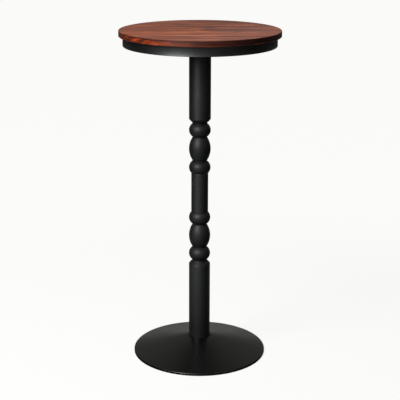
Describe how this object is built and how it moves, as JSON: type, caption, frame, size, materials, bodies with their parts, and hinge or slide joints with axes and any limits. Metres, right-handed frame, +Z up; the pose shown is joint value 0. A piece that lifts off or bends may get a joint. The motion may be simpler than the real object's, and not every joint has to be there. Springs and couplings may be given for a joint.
{
  "type": "pub table",
  "caption": "Tall round pub table: edge-glued timber top, black steel skirt, turned column clamped by a tie rod, and a weighted cone base on levelling glides.",
  "frame": {"origin": "on the floor, on the column's axis, with the glides screwed right in", "axes": "+Z up, out of the table top; X along the boards' grain; -Y towards the viewer of the picture"},
  "size_m": [0.506, 0.506, 1.067],
  "materials": {
    "timber": "reddish-brown satin lacquer over straight grain",
    "black_coat": "satin black powder coat",
    "black_casting": "black primer over a rough casting",
    "zinc_steel": "bright zinc plating",
    "nylon": "moulded black nylon"
  },
  "bodies": {
    "table": {"top_board_1": "timber", "top_board_2": "timber", "top_board_3": "timber", "top_board_4": "timber", "top_board_5": "timber", "top_board_6": "timber", "top_board_7": "timber", "skirt_ring": "black_coat", "skirt_tabs": "black_coat", "skirt_tab_screws": "zinc_steel", "top_spider": "black_casting", "spider_screws": "zinc_steel", "tie_rod": "zinc_steel", "top_nut": "zinc_steel", "top_washer": "zinc_steel", "upper_tube": "black_coat", "upper_baluster": "black_coat", "middle_tube": "black_coat", "lower_baluster": "black_coat", "lower_tube": "black_coat", "base_cover": "black_coat", "base_weight": "black_casting", "bottom_nut": "zinc_steel", "bottom_washer": "zinc_steel"},
    "glide_1": {"glide_stud_1": "zinc_steel", "glide_pad_1": "nylon"},
    "glide_2": {"glide_stud_2": "zinc_steel", "glide_pad_2": "nylon"},
    "glide_3": {"glide_stud_3": "zinc_steel", "glide_pad_3": "nylon"},
    "glide_4": {"glide_stud_4": "zinc_steel", "glide_pad_4": "nylon"}
  },
  "joints": [
    {"name": "glide_1_lift", "type": "slide", "parent": "table", "child": "glide_1", "axis": [0, 0, -1], "range_m": [0, 0.004]},
    {"name": "glide_2_lift", "type": "slide", "parent": "table", "child": "glide_2", "axis": [0, 0, -1], "range_m": [0, 0.004]},
    {"name": "glide_3_lift", "type": "slide", "parent": "table", "child": "glide_3", "axis": [0, 0, -1], "range_m": [0, 0.004]},
    {"name": "glide_4_lift", "type": "slide", "parent": "table", "child": "glide_4", "axis": [0, 0, -1], "range_m": [0, 0.004]}
  ]
}
